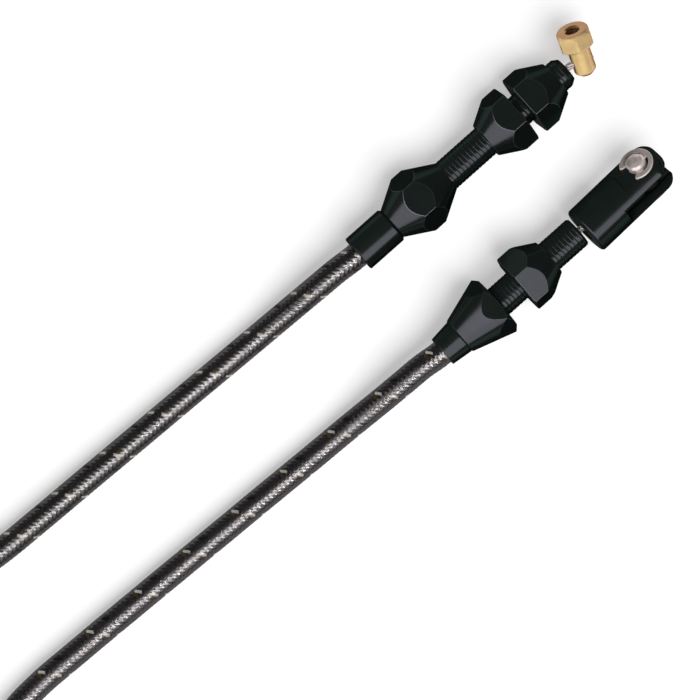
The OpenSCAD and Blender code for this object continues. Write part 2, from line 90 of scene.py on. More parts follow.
def pastBend(distance):
    r = bend["radius"]
    return bendPlace @ shift(0, r, 0) @ turn("Z", bend["angle"]) @ shift(distance, -r, 0)


stopPlace = pastBend(bend["toStop"]) @ turn("X", bend["stopTurn"])


def unit(vectors):
    return vectors / np.maximum(np.linalg.norm(vectors, axis=1, keepdims=True), 1e-12)


def distances(line):
    return np.concatenate([[0], np.cumsum(np.linalg.norm(np.diff(line, axis=0), axis=1))])


# Meshes are built as shells: points and quads
def grid(rows, columns):
    return np.meshgrid(rows, columns, indexing="ij")


def quadsFrom(corners, number):
    return np.stack([number(row, column) for row, column in corners], -1).reshape(-1, 4)


def gridQuads(rows, columns, roundRows=False):
    r, c = grid(range(rows if roundRows else rows - 1), range(columns))
    nextRow, nextColumn = (r + 1) % rows, (c + 1) % columns
    corners = [(r, c), (r, nextColumn), (nextRow, nextColumn), (nextRow, c)]
    return quadsFrom(corners, lambda row, column: row * columns + column)


def joined(*shells):
    points, quads, start = [], [], 0
    for p, q in shells:
        points.append(p)
        quads.append(q + start)
        start += len(p)
    return np.concatenate(points), np.concatenate(quads)


def inFrame(shell, place):
    return placed(shell[0], place), shell[1]


# One ring of points round each point of a line
def ringPoints(line, side, up, radius, angle):
    c, s = np.cos(angle)[..., None], np.sin(angle)[..., None]
    return line[:, None] + np.asarray(radius)[..., None] * (c * side[:, None] + s * up[:, None])


# Painted highlight on the edges: how much the faces turn at each vertex, outside the threads
edgeHighlightFade = {"from": 0.0012, "over": 0.0015, "outside": 4.4}


def edgeHighlightAt(shell):
    points, quads = shell
    a, b, c, d = (points[quads[:, k]] for k in range(4))
    normal = unit(np.cross(c - a, d - b))
    total, count = np.zeros_like(points), np.zeros(len(points))
    for k in range(4):
        np.add.at(total, quads[:, k], normal)
        np.add.at(count, quads[:, k], 1)
    turning = 1 - np.linalg.norm(total, axis=1) / np.maximum(count, 1)
    edgeHighlight = np.clip((turning - edgeHighlightFade["from"]) / edgeHighlightFade["over"], 0, 1)
    return edgeHighlight * (np.hypot(points[:, 1], points[:, 2]) > edgeHighlightFade["outside"])


def addPiece(name, shell, body, material, replaces, flip=False, edgeHighlight=None):
    points, quads = shell
    if flip:
        quads = quads[:, ::-1]
    mesh = bpy.data.meshes.new(name)
    mesh.vertices.add(len(points))
    mesh.vertices.foreach_set("co", (points * mm).astype(np.float32).ravel())
    mesh.loops.add(quads.size)
    mesh.loops.foreach_set("vertex_index", quads.astype(np.int32).ravel())
    mesh.polygons.add(len(quads))
    mesh.polygons.foreach_set("loop_start", np.arange(0, quads.size, 4, dtype=np.int32))
    mesh.polygons.foreach_set("use_smooth", np.ones(len(quads), bool))
    mesh.update(calc_edges=True)
    # The painted edge highlight is kept as a point attribute
    if edgeHighlight is not None:
        mesh.attributes.new("edgeHighlight", "FLOAT", "POINT").data.foreach_set("value", edgeHighlight.astype(np.float32))
    mesh.materials.append(material)
    piece = bpy.data.objects.new(name, mesh)
    scene.collection.objects.link(piece)
    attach(piece, body)
    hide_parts(*replaces)
    return piece


# Black anodised pieces share their slot and their finish
def addBlack(name, shell, body, replaces, flip=True, edgeHighlight=None):
    return addPiece(name, shell, body, black, (replaces,), flip, edgeHighlight)


# Node trees: node fills a node's inputs by name, or by number as i0, i1 and so on
def node(tree, kind, settings=None, **values):
    made = tree.nodes.new("ShaderNode" + kind)
    for key, value in (settings or {}).items():
        setattr(made, key, value)
    for key, value in values.items():
        socket = made.inputs[int(key[1:])] if key[1:].isdigit() else made.inputs[key.replace("_", " ")]
        if isinstance(value, bpy.types.NodeSocket):
            tree.links.new(value, socket)
        else:
            socket.default_value = value
    return made


def maths(tree, operation, a, b=0.0, c=0.0):
    return node(tree, "Math", {"operation": operation}, i0=a, i1=b, i2=c).outputs[0]


def times(tree, a, b):
    return maths(tree, "MULTIPLY", a, b)


def plus(tree, a, b):
    return maths(tree, "ADD", a, b)


def blended(tree, share, low, high):
    return node(tree, "Mix", {"data_type": "RGBA"}, i0=share, i6=low, i7=high).outputs[2]


def mapped(tree, value, start, end, low, high):
    return node(tree, "MapRange", None, Value=value, i1=start, i2=end, i3=low, i4=high).outputs[0]


# A noise keeps mostly between these two values
noiseReach = (0.3, 0.7)


def between(tree, noise, low, high):
    return mapped(tree, noise, *noiseReach, low, high)


def inMm(tree):
    place = node(tree, "TexCoord").outputs["Object"]
    return node(tree, "VectorMath", {"operation": "SCALE"}, i0=place, Scale=1 / mm).outputs[0]


def grain(tree, scale, detail):
    return node(tree, "TexNoise", None, Vector=inMm(tree), Scale=scale, Detail=detail).outputs["Fac"]


def grains(tree, look):
    return [grain(tree, look[size], look["detail"]) for size in ("cloud", "fine")]


def uvCell(tree, name):
    place = node(tree, "UVMap", {"uv_map": name}).outputs[0]
    return node(tree, "SeparateXYZ", None, Vector=place).outputs[:2]


# Metal's share, from faces seen square on to faces seen edge on
def facingShine(tree, look):
    facing = node(tree, "LayerWeight", None, Blend=0.5).outputs["Facing"]
    return mapped(tree, facing, *look["facing"], *look["metal"])


def dented(tree, height, depth):
    return node(tree, "Bump", None, Height=height, Strength=1.0, Distance=depth * mm).outputs[0]


def newMaterial(name):
    material = bpy.data.materials.new(name)
    material.use_nodes = True
    material.node_tree.nodes.clear()
    return material, material.node_tree


def ended(tree, shader, kind="Material"):
    output = tree.nodes.new("ShaderNodeOutput" + kind)
    tree.links.new(shader.outputs[0], output.inputs["Surface"])


def finished(tree, **values):
    ended(tree, node(tree, "BsdfPrincipled", None, **values))


# Black anodised metal: a deep greenish black with a satin shine, its edges made paler by a painted
# highlight
blackLook = {"dark": (0.018, 0.0255, 0.0225, 1), "pale": (0.021, 0.0295, 0.0265, 1),
    "edgeHighlight": (0.075, 0.095, 0.088, 1), "edgeHighlightShare": (0.4, 0.9), "rim": (0.05, 0.05, 0.05, 1),
    "facing": (0.8, 0.92), "metal": (0.63, 0.0), "roughness": (0.15, 0.19),
    "cloud": 0.35, "fine": 9.0, "detail": 3.0, "grain": 0.001}


def blackMetal():
    material, tree = newMaterial("blackAnodised")
    look = blackLook
    cloud, fine = grains(tree, look)
    # Edges are painted paler as a painted highlight, broken up by noise
    edgeHighlightMask = node(tree, "Attribute", {"attribute_name": "edgeHighlight"}).outputs["Fac"]
    edgeHighlight = times(tree, edgeHighlightMask, between(tree, fine, *look["edgeHighlightShare"]))
    colour = blended(tree, cloud, look["dark"], look["pale"])
    finished(tree, Base_Color=blended(tree, edgeHighlight, colour, look["edgeHighlight"]), Metallic=facingShine(tree, look),
        Specular_Tint=look["rim"], Specular_IOR_Level=0.0, Normal=dented(tree, fine, look["grain"]),
        Roughness=between(tree, cloud, *look["roughness"]))
    return material


# Brass: turned bright, darker where it is seen edge on
brassLook = {"dull": (0.50, 0.275, 0.15, 1), "bright": (0.68, 0.42, 0.23, 1), "brightShare": (0.35, 1.0),
    "rim": (0.16, 0.12, 0.085, 1), "facing": (0.38, 0.65), "metal": (0.42, 1.0), "specular": 0.1,
    "roughness": (0.16, 0.24), "cloud": 0.5, "fine": 5.0, "detail": 4.0, "grain": 0.0015}


def brassMetal():
    material, tree = newMaterial("brass")
    look = brassLook
    cloud, fine = grains(tree, look)
    colour = blended(tree, between(tree, cloud, *look["brightShare"]), look["dull"], look["bright"])
    finished(tree, Base_Color=colour, Metallic=facingShine(tree, look), Specular_Tint=look["rim"],
        Specular_IOR_Level=look["specular"], Normal=dented(tree, fine, look["grain"]),
        Roughness=between(tree, fine, *look["roughness"]))
    return material


# Steels: bright for pin, clip and terminal, duller for the strands, dark for the screw; inside is the
# colour of the painted shade laid on the pin between the clevis ears
steelLook = {"dull": (0.62, 0.54, 0.51, 1), "bright": (0.82, 0.74, 0.70, 1), "metal": 0.45,
    "inside": (0.02, 0.019, 0.019, 1), "roughness": (0.24, 0.36), "cloud": 0.9, "fine": 7.0, "detail": 3.0,
    "grain": 0.003}
strandLook = {**steelLook, "dull": (0.44, 0.38, 0.38, 1), "bright": (0.80, 0.73, 0.72, 1),
    "metal": 0.5, "roughness": (0.22, 0.34), "grain": 0.004}
darkSteelLook = {**steelLook, "dull": (0.05, 0.05, 0.055, 1), "bright": (0.12, 0.12, 0.13, 1),
    "metal": 1.0, "roughness": (0.35, 0.5), "grain": 0.004}


# The span given last is an axis, a place along it and a reach: within that reach the steel is painted dark,
# as painted shade
def steelMetal(name, look, paintedShadeSpan=None):
    material, tree = newMaterial(name)
    cloud, fine = grains(tree, look)
    colour = blended(tree, cloud, look["dull"], look["bright"])
    # Painted shade: within the span the steel's colour turns dark
    if paintedShadeSpan:
        axis, middle, reach = paintedShadeSpan
        along = node(tree, "VectorMath", {"operation": "DOT_PRODUCT"}, i0=inMm(tree), i1=axis)
        inPaintedShade = maths(tree, "COMPARE", along.outputs["Value"], middle, reach)
        colour = blended(tree, inPaintedShade, colour, look["inside"])
    finished(tree, Base_Color=colour, Metallic=look["metal"],
        Roughness=between(tree, fine, *look["roughness"]), Normal=dented(tree, fine, look["grain"]))
    return material


nylonLook = {"dull": (0.62, 0.59, 0.50, 1), "bright": (0.74, 0.72, 0.64, 1), "roughness": 0.42,
    "cloud": 1.5, "detail": 3.0}


def nylonPlastic():
    material, tree = newMaterial("nylon")
    look = nylonLook
    cloud = grain(tree, look["cloud"], look["detail"])
    colour = blended(tree, cloud, look["dull"], look["bright"])
    finished(tree, Base_Color=colour, Roughness=look["roughness"])
    return material


black = blackMetal()
brass = brassMetal()
steel = steelMetal("brightSteel", steelLook)
strand = steelMetal("strandedWire", strandLook)
darkSteel = steelMetal("darkSteel", darkSteelLook)
nylon = nylonPlastic()
print("metals and nylon mixed")

# Sheath: it runs from the stop end's ferrule to the clevis end's; length is in metres
sheath = {"diameter": 6.35, "length": 0.61, "lying": -4.3729, "curveSteps": 24, "evening": 12,
    "yarns": 12, "lead": 15.0, "steps": 4, "valley": 3.03, "crest": 3.17, "crown": 0.7, "lift": 0.3,
    "startTwist": 2.0, "endTwist": 30.5, "phase": -6.9, "drift": -6.85, "driftFrom": 150, "driftOver": 350,
    "spareRings": 40}
coil = {"x": -217.0, "y": -4.0, "radius": 27.5, "pitch": 6.85, "low": -3.7229, "start": 60, "stop": 660,
    "every": 10, "climb": (296, 384), "roll": (480, 640)}


def smooth(t):
    t = np.clip(t, 0.0, 1.0)
    return t * t * (3 - 2 * t)


# The second turn climbs on the first, and rolls off it outwards
def coilAt(angle):
    (climbStart, climbEnd), (rollStart, rollEnd) = coil["climb"], coil["roll"]
    lift = smooth((angle - climbStart) / (climbEnd - climbStart))
    roll = math.radians(90 * smooth((angle - rollStart) / (rollEnd - rollStart)))
    upper = angle >= climbEnd
    r = coil["radius"] + (coil["pitch"] * math.sin(roll) if upper else 0)
    up = coil["pitch"] * (math.cos(roll) if upper else lift)
    a = math.radians(angle)
    return np.array([coil["x"] + r * math.cos(a), coil["y"] + r * math.sin(a), coil["low"] + up])


def coilEnd(angle, side):
    ahead = coilAt(angle + side * 1.0) - coilAt(angle)
    return coilAt(angle) - side * sheath["diameter"] * ahead / np.linalg.norm(ahead)


# A run's spots are x, y and the share of its ferrule's height above the lying sheath
def runPoints(ferruleZ, spots):
    low = sheath["lying"]
    return [(x, y, low + (ferruleZ - low) * share) for x, y, share in spots]


def sheathRoute():
    _, clevisY, clevisZ = layout["clevisEnd"]
    stopRun = runPoints(0, ((-57, 0.42, 0.97), (-63, 0.62, 0.8), (-69, 0.84, 0.55), (-75, 1.04, 0.28),
        (-82, 1.26, 0.08), (-92, 1.58, 0), (-105, 2.0, 0), (-120, 2.42, 0), (-135, 2.88, 0), (-150, 3.3, 0),
        (-162, 3.8, 0), (-172, 5.0, 0), (-181, 7.5, 0), (-189.5, 11.5, 0.05)))
    turns = [coilAt(angle) for angle in range(coil["start"], coil["stop"] + 1, coil["every"])]
    clevisRun = runPoints(clevisZ, ((-186, -27.3, 0.05), (-177, -26.2, 0), (-165, -26.38, 0),
        (-150, -26.84, 0), (-135, -27.38, 0), (-120, -27.92, 0), (-105, -28.45, 0), (-92, -28.96, 0),
        (-82, -29.28, 0.08), (-75, -29.54, 0.28), (-69, -29.8, 0.55), (-63, -29.98, 0.8),
        (-57, -30.15, 0.97)))
    route = [(-39.8, 0, 0), (-51.65, 0, 0)] + stopRun + [coilEnd(coil["start"], 1)] + turns
    last = [(-52.1, clevisY, clevisZ), (-45.75, clevisY, clevisZ)]
    route += [coilEnd(coil["stop"], -1)] + clevisRun + last
    return np.array([tuple(p) for p in route], float)


# A smooth curve through the points, and the distance along it
def curveThrough(points):
    ends = np.vstack([2 * points[0] - points[1], points, 2 * points[-1] - points[-2]])
    t = np.linspace(0, 1, sheath["curveSteps"], endpoint=False)[:, None]
    fine = []
    for i in range(1, len(ends) - 2):
        p0, p1, p2, p3 = ends[i - 1 : i + 3]
        d1, d2, d3 = (max(np.linalg.norm(b - a), 1e-6) ** 0.5 for a, b in ((p0, p1), (p1, p2), (p2, p3)))
        m1 = d2 * ((p1 - p0) / d1 - (p2 - p0) / (d1 + d2) + (p2 - p1) / d2)
        m2 = d2 * ((p2 - p1) / d2 - (p3 - p1) / (d2 + d3) + (p3 - p2) / d3)
        fine.append((2 * t**3 - 3 * t**2 + 1) * p1 + (t**3 - 2 * t**2 + t) * m1
            + (3 * t**2 - 2 * t**3) * p2 + (t**3 - t**2) * m2)
    line = np.vstack(fine + [points[-1:]])
    return line, distances(line)


# Two directions across a line that never stands upright
def crossings(line):
    ahead = np.gradient(line, axis=0)
    for _ in range(sheath["evening"]):
        ahead[1:-1] = (ahead[:-2] + ahead[1:-1] + ahead[2:]) / 3
    ahead = unit(ahead)
    side = unit(np.cross([0, 0, 1], ahead))
    return side, np.cross(ahead, side)


# A yarn goes over two yarns and under two; where it is on top it stands crowned
def overTwo(t):
    return 0.5 + 0.5 * np.cos(np.pi / 2 * t)


def yarnHeight(across, over):
    height = sheath["crown"] * (1 - np.abs(2 * across - 1) ** 3) + sheath["lift"] * over
    return np.where((over >= 0.5) & (across > 0), height, 0)


def braidedTube():
    s, n, k = sheath, sheath["yarns"], sheath["steps"]
    step = s["lead"] / (2 * n * k)
    fine, along = curveThrough(sheathRoute())
    first = math.ceil(-s["phase"] / step)
    at = np.arange(first, first + int(along[-1] / step) + s["spareRings"]) * step + s["phase"]
    share = smooth((at - s["driftFrom"]) / s["driftOver"])
    at = at + s["drift"] * share
    at, share = at[at < along[-1]], share[at < along[-1]]
    line = np.stack([np.interp(at, along, fine[:, axis]) for axis in range(3)], 1)
    side, up = crossings(line)
    count = n * k
    m, p = grid(range(first, first + len(line)), range(count))
    q = p + m
    u, v = p / k, q / k
    right = yarnHeight((p % k) / k, overTwo((p // k + v) % 4 - 1))
    left = yarnHeight((q % k) / k, overTwo((q // k + u) % 4 - 3))
    radius = s["valley"] + (s["crest"] - s["valley"]) * np.maximum(right, left)
    twist = s["startTwist"] + (s["endTwist"] - s["startTwist"]) * share
    angle = 2 * np.pi * (u + v) / (2 * n) + np.radians(twist)[:, None]
    points = ringPoints(line, side, up, radius, angle).reshape(-1, 3)
    m, p = grid(range(1, len(line) - 1), range(count))
    corners = [(m, p), (m - 1, p + 1), (m, p + 1), (m + 1, p)]
    quads = quadsFrom(corners, lambda row, column: row * count + column % count)
    cells = np.stack([np.stack([b / k, (first + a + b) / k], -1) for a, b in corners], 2).reshape(-1, 4, 2)
    return (points, quads), cells, line


# Braid: dark yarns, a cream tracer yarn, a brown one beside it and a dull one further round
braidLook = {"dark": (0.060, 0.056, 0.056, 1), "pale": (0.093, 0.087, 0.087, 1),
    "dull": (0.02, 0.02, 0.021, 1), "brown": (0.10, 0.062, 0.032, 1), "cream": (0.70, 0.65, 0.54, 1),
    "creamPale": (0.88, 0.85, 0.77, 1), "brownYarn": 1.0, "brownFrom": 1.0, "dullYarn": 8.0,
    "tracerWidth": 0.36, "tracerLength": 1.02, "metal": 0.75, "rim": (0.4, 0.4, 0.4, 1), "specular": 0.3,
    "roughness": (0.12, 0.18), "matt": 0.14, "fibre": 3.0, "detail": 3.0, "ribs": 40.0, "grain": 0.003}


def braidMaterial():
    material, tree = newMaterial("braid")
    look = braidLook
    cell = uvCell(tree, "plait")
    row, other = (maths(tree, "FLOOR", part) for part in cell)
    partU, partV = (maths(tree, "FRACT", part) for part in cell)
    offU, offV = (maths(tree, "ABSOLUTE", maths(tree, "SUBTRACT", part, 0.5)) for part in (partU, partV))
    order = maths(tree, "FLOORED_MODULO", plus(tree, row, other), 4.0)
    rightTop = maths(tree, "LESS_THAN", order, 1.5)
    run = plus(tree, order, partV)
    offRun = maths(tree, "ABSOLUTE", maths(tree, "SUBTRACT", run, 1.0))
    wide = maths(tree, "POWER", maths(tree, "DIVIDE", offU, look["tracerWidth"]), 4.0)
    long = maths(tree, "POWER", maths(tree, "DIVIDE", offRun, look["tracerLength"]), 8.0)
    which = maths(tree, "FLOORED_MODULO", row, float(sheath["yarns"]))
    tracer = times(tree, maths(tree, "LESS_THAN", which, 0.5), rightTop)
    tracer = times(tree, tracer, maths(tree, "LESS_THAN", plus(tree, wide, long), 1.0))
    dull = times(tree, maths(tree, "COMPARE", which, look["dullYarn"], 0.5), rightTop)
    brown = times(tree, maths(tree, "COMPARE", which, look["brownYarn"], 0.5), rightTop)
    brown = times(tree, brown, maths(tree, "GREATER_THAN", run, look["brownFrom"]))
    leftTop = maths(tree, "SUBTRACT", 1.0, rightTop)
    threads = plus(tree, times(tree, rightTop, offU), times(tree, leftTop, offV))
    ribs = maths(tree, "SINE", times(tree, threads, look["ribs"]))
    fibre = grain(tree, look["fibre"], look["detail"])
    yarn = blended(tree, between(tree, fibre, 0.0, 1.0), look["dark"], look["pale"])
    yarn = blended(tree, dull, yarn, look["dull"])
    yarn = blended(tree, brown, yarn, look["brown"])
    cream = blended(tree, fibre, look["cream"], look["creamPale"])
    colour = blended(tree, tracer, yarn, cream)
    matt = times(tree, plus(tree, tracer, dull), look["matt"])
    plain = times(tree, plus(tree, tracer, brown), look["metal"])
    finished(tree, Base_Color=colour, Metallic=maths(tree, "SUBTRACT", look["metal"], plain),
        Specular_Tint=look["rim"], Specular_IOR_Level=look["specular"],
        Roughness=plus(tree, between(tree, fibre, *look["roughness"]), matt),
        Normal=dented(tree, ribs, look["grain"]))
    return material


# The flat map lays the tube out in strips, each a length of it cut open
flatMap = {"strips": 6, "endMargin": 0.005, "sideMargin": 0.03}


def addUvs(piece, name, places):
    layer = piece.data.uv_layers.new(name=name, do_init=False)
    layer.uv.foreach_set("vector", places.astype(np.float32).ravel())


def addSheath():
    shell, cells, line = braidedTube()
    piece = addPiece("sheath", shell, "cable", braidMaterial(),
        ("sheath_stop_run", "sheath_coil", "sheath_clevis_run"))
    addUvs(piece, "plait", cells)
    strips, end, edge = flatMap["strips"], flatMap["endMargin"], flatMap["sideMargin"]
    around = 2 * sheath["yarns"]
    middle = cells.mean(1)
    along, about = (middle[:, 1] - middle[:, 0]), (middle[:, 0] + middle[:, 1]) / around
    low, reach = along.min(), np.ptp(along)
    strip = np.clip(np.floor((along - low) / reach * strips), 0, strips - 1)
    s = (cells[..., 1] - cells[..., 0] - low) / reach * strips - strip[:, None]
    t = (cells[..., 0] + cells[..., 1]) / around - np.floor(about)[:, None]
    flat = np.stack([end + (1 - 2 * end) * s, (strip[:, None] + edge + (1 - 2 * edge) * t) / strips], -1)
    addUvs(piece, "OFBake", np.clip(flat, 0, 1))
    return piece, line


sheathPiece, sheathLine = addSheath()
print("sheath braided,", len(sheathPiece.data.polygons), "faces")

# Turned shells about X: each corner of an outline is x, radius and how far it is rounded
rounding = {"steps": 3, "support": 0.05, "reachShare": 0.45, "supportShare": 0.04}
edges = {"bore": 0.05, "face": 0.12, "cone": 0.35}


def softened(corners):
    places = [np.array(corner[:2], float) for corner in corners]
    out = [places[0]]
    for a, b, c, corner in zip(places, places[1:], places[2:], corners[1:]):
        back, ahead = a - b, c - b
        backLength, aheadLength = (max(np.linalg.norm(way), 1e-9) for way in (back, ahead))
        back, ahead = back / backLength, ahead / aheadLength
        half = math.acos(max(-1.0, min(1.0, float(back @ ahead)))) / 2
        shorter = min(backLength, aheadLength)
        reach = min(corner[2] / max(math.tan(half), 1e-3), rounding["reachShare"] * shorter)
        spare = min(rounding["support"], rounding["supportShare"] * shorter)
        start, end = b + back * reach, b + ahead * reach
        out.append(start + back * spare)
        for s in np.linspace(0, 1, rounding["steps"] + 1):
            out.append((1 - s) ** 2 * start + 2 * s * (1 - s) * b + s * s * end)
        out.append(end + ahead * spare)
    out.append(places[-1])
    return np.array(out)


def lathe(outlineAt, angles, closed=True, upright=False):
    columns = np.array([outlineAt(a) for a in angles])
    x, r = columns[..., 0].T, columns[..., 1].T
    c, s = np.cos(np.radians(angles)), np.sin(np.radians(angles))
    points = np.stack([x, r * c, r * s], -1)
    if upright:
        points = points[..., [1, 2, 0]]
    return points.reshape(-1, 3), gridQuads(*x.shape, roundRows=closed)


def roundAngles(count):
    return np.arange(count) * 360 / count


# Hexagons: steps are the angles of half a side, closer together towards its rounded corner
hexagon = {"acrossFlats": 14.1, "edge": 0.22, "cone": 30.0,
    "steps": (0, 6, 12, 18, 23, 26.5, 28.3, 28.9, 29.25, 29.5, 29.75)}
hexFlat = hexagon["acrossFlats"] / 2
hexCorner = hexFlat / math.cos(math.radians(30))
coneSlope = math.tan(math.radians(hexagon["cone"]))


def hexAngles(centre):
    half = hexagon["steps"]
    steps = [-30] + [-d for d in reversed(half[1:])] + list(half)
    return np.array([centre + 60 * side + d for side in range(6) for d in steps])


def hexRadius(angle, centre):
    edge = hexagon["edge"]
    d = abs((angle - centre + 30) % 60 - 30)
    if d <= math.degrees(math.atan((hexFlat - edge) * math.tan(math.radians(30)) / hexFlat)):
        return hexFlat / math.cos(math.radians(d))
    middle = (hexFlat - edge) / math.cos(math.radians(30))
    g = math.radians(30 - d)
    return middle * math.cos(g) + math.sqrt(max(edge**2 - (middle * math.sin(g)) ** 2, 0))


# Threads: phases are where the rings of one turn stand, closer together in the groove
thread = {"major": 3.97, "minor": 3.86, "groove": 0.17, "pitch": 1.0583, "segments": 56,
    "phases": (0.0, 0.16, 0.31, 0.35, 0.39, 0.43, 0.465, 0.5, 0.535, 0.57, 0.61, 0.65, 0.69, 0.84),
    "bore": 1.75, "boreDepth": 4, "mouth": 1.9, "mouthDepth": 0.15, "face": 2.6}


# chamfer is the nose's drop and its length
def threadedShank(x0, x1, chamfer):
    pitch, segments, phases, major = (thread[part] for part in ("pitch", "segments", "phases", "major"))
    turns = int((x1 - x0) / pitch) + 3
    phase = np.array([t + p for t in range(-1, turns) for p in phases])
    angle = np.arange(segments) / segments
    x = np.clip(x0 + (phase[:, None] + angle[None]) * pitch, x0, x1)
    away = np.clip(np.abs(phase % 1 - 0.5) / thread["groove"], 0, 1)
    radius = major - (major - thread["minor"]) * (0.5 + 0.5 * np.cos(np.pi * away))
    drop, length = chamfer
    nose = major - drop * np.clip((x - x1 + length) / length, 0, 1)
    radius = np.minimum(radius[:, None], nose)
    a = 2 * np.pi * angle
    points = np.stack([x, radius * np.cos(a), radius * np.sin(a)], -1).reshape(-1, 3)
    count = len(phase)
    r, c = grid(range(count - 1), range(segments))

    def number(row, column):
        row = np.where(column == segments, np.minimum(row + len(phases), count - 1), row)
        return row * segments + column % segments
    quads = quadsFrom([(r, c), (r, c + 1), (r + 1, c + 1), (r + 1, c)], number)
    flattened = np.ptp(points[quads][..., 0], axis=1) < 1e-6
    bore = thread["bore"]
    end = [(x1, major - drop), (x1, thread["face"]), (x1, thread["mouth"]),
        (x1 - thread["mouthDepth"], bore), (x1 - thread["boreDepth"], bore)]
    face = lathe(lambda _: np.array(end), roundAngles(segments), closed=False)
    return joined((points, quads[~flattened]), face)


# Jam nuts: flat face at x = 0 and cone towards +X; turns are those of the hexagons
nut = {"length": 9.9, "nose": 4.7, "noseEdge": 0.18, "bore": 4.02, "bevel": 0.25, "deep": 1.0,
    "faceChamfer": 0.5, "least": 0.14, "turns": {"rear": 82, "front": 85, "clevis": 106}, "stopGap": 2.3,
    "clevisGap": 6.4}


def jamNut(centre, sign):
    n, e, inner, end, bevel = nut, edges, nut["bore"], nut["length"], nut["bevel"]

    def outline(angle):
        r = hexRadius(angle, centre)
        faceR = min(hexCorner - n["faceChamfer"], r - n["least"])
        chamferX = max((r - hexCorner + n["faceChamfer"]) * coneSlope, n["least"])
        coneX = end - (r - n["nose"]) / coneSlope
        corners = [(n["deep"], inner, 0), (bevel, inner, e["bore"]), (0, inner + bevel, e["bore"]),
            (0, faceR, e["face"]), (chamferX, r, e["face"]), (coneX, r, e["cone"]),
            (end, n["nose"], n["noseEdge"]), (end, inner + bevel, e["bore"]),
            (end - bevel, inner, e["bore"]), (end - n["deep"], inner, 0)]
        return softened(corners) * (sign, 1)
    points, quads = lathe(outline, hexAngles(centre))
    return points, quads if sign > 0 else quads[:, ::-1]


for name, sign, place in (("rear", -1, shift(0, 0, 0)), ("front", 1, shift(nut["stopGap"], 0, 0)),
        ("clevis", 1, clevisEnd @ shift(nut["clevisGap"], 0, 0))):
    shell = jamNut(nut["turns"][name], sign)
    addBlack(name + "JamNut", inFrame(shell, place), name + "_nut", name + "_jam_nut", edgeHighlight=edgeHighlightAt(shell))
print("three jam nuts turned")

# Stop end's body: hexagon between two cones, and the threaded shank
stopBody = {"neckX": -39.75, "neck": 4.2, "shankX": -22.6, "noseX": 15.6, "hexTurn": 90, "hollow": 3.0,
    "deep": 1, "relief": 0.35, "reliefEdge": 0.1, "overlap": 0.2, "chamfer": (0.9, 1.4)}


def doubleCone():
    b, e, x0, x1 = stopBody, edges, stopBody["neckX"], stopBody["shankX"]

    def outline(angle):
        r = hexRadius(angle, b["hexTurn"])
        rear = x0 + (r - b["neck"]) / coneSlope
        front = x1 - (r - thread["major"]) / coneSlope
        return softened([(x0 + b["deep"], b["hollow"], 0), (x0, b["hollow"], e["bore"]),
            (x0, b["neck"], e["face"]), (rear, r, e["cone"]), (front, r, e["cone"]),
            (x1, thread["major"], b["reliefEdge"]),
            (x1 + b["relief"], thread["minor"], b["reliefEdge"]), (x1 + b["relief"], b["hollow"], 0)])
    return lathe(outline, hexAngles(b["hexTurn"]))


shank = threadedShank(stopBody["shankX"] - stopBody["overlap"], stopBody["noseX"], stopBody["chamfer"])
shell = joined(doubleCone(), shank)
addBlack("stopBody", shell, "cable", "stop_body", edgeHighlight=edgeHighlightAt(shell))

# Clevis end's body: tapered hexagon with a chamfered face, and its threaded shank
clevisBody = {"length": 12.2, "small": 4.8, "shank": 25.6, "hexTurn": 90, "hollow": 3.0, "deep": 1,
    "bevel": 0.3, "rearEdge": 0.08, "bevelEdge": 0.1, "faceChamfer": 1.2, "faceSlope": 0.95, "least": 0.14,
    "taperEnd": -0.5, "taperGap": 0.12, "mouth": 4.2, "mouthSmall": 3.5, "overlap": 0.5,
    "chamfer": (0.35, 0.5)}


def taperedHexagon():
    b, e = clevisBody, edges
    back, small, bevel = -b["length"], b["small"], b["bevel"]
    slope = (hexCorner - small) / (b["length"] - b["faceChamfer"])

    def outline(angle):
        r = hexRadius(angle, b["hexTurn"])
        faceR = min(hexCorner - b["faceChamfer"], r - b["least"])
        faceX = min(-(r - hexCorner + b["faceChamfer"]) * b["faceSlope"], -b["least"])
        taperX = min(back + (r - small) / slope, b["taperEnd"], faceX - b["taperGap"])
        return softened([(back + b["deep"], b["hollow"], 0), (back, b["hollow"], e["bore"]),
            (back, small - bevel, b["rearEdge"]), (back + bevel, small, b["bevelEdge"]),
            (taperX, r, e["cone"]), (faceX, r, e["face"]), (0, faceR, e["face"]),
            (0, b["mouth"], b["bevelEdge"]), (-bevel, b["mouthSmall"], e["bore"]),
            (-bevel, b["hollow"], 0)])
    return lathe(outline, hexAngles(b["hexTurn"]))


shank = threadedShank(-clevisBody["overlap"], clevisBody["shank"], clevisBody["chamfer"])
shell = joined(taperedHexagon(), shank)
addBlack("clevisBody", inFrame(shell, clevisEnd), "cable", "clevis_body", edgeHighlight=edgeHighlightAt(shell))

# Ferrules: crimped tubes that hold the sheath
ferrules = {"stopMouth": -50.65, "stopRadius": 4.7, "mouthBevel": 0.25, "shoulderBevel": 0.5,
    "clevisMouth": -17.6, "small": 3.9, "large": 4.5, "gap": 0.05, "bore": 3.24, "boreBevel": 0.3,
    "boreEdge": 0.1, "edge": 0.16, "lastEdge": 0.12, "deep": 6, "lip": 3.6, "sides": 96}


def ferrule(outer):
    f, bore, bevel, fine = ferrules, ferrules["bore"], ferrules["boreBevel"], ferrules["boreEdge"]
    mouth, shoulder = outer[0][0], outer[-1][0]
    corners = [(mouth + f["deep"], bore, 0), (mouth + bevel, bore, fine), (mouth, bore + bevel, fine)]
    corners += [(x, r, f["edge"]) for x, r in outer[:-1]] + [(*outer[-1], f["lastEdge"])]
    profile = softened(corners + [(shoulder, f["lip"], 0), (shoulder, bore, 0)])
    return lathe(lambda _: profile, roundAngles(f["sides"]))


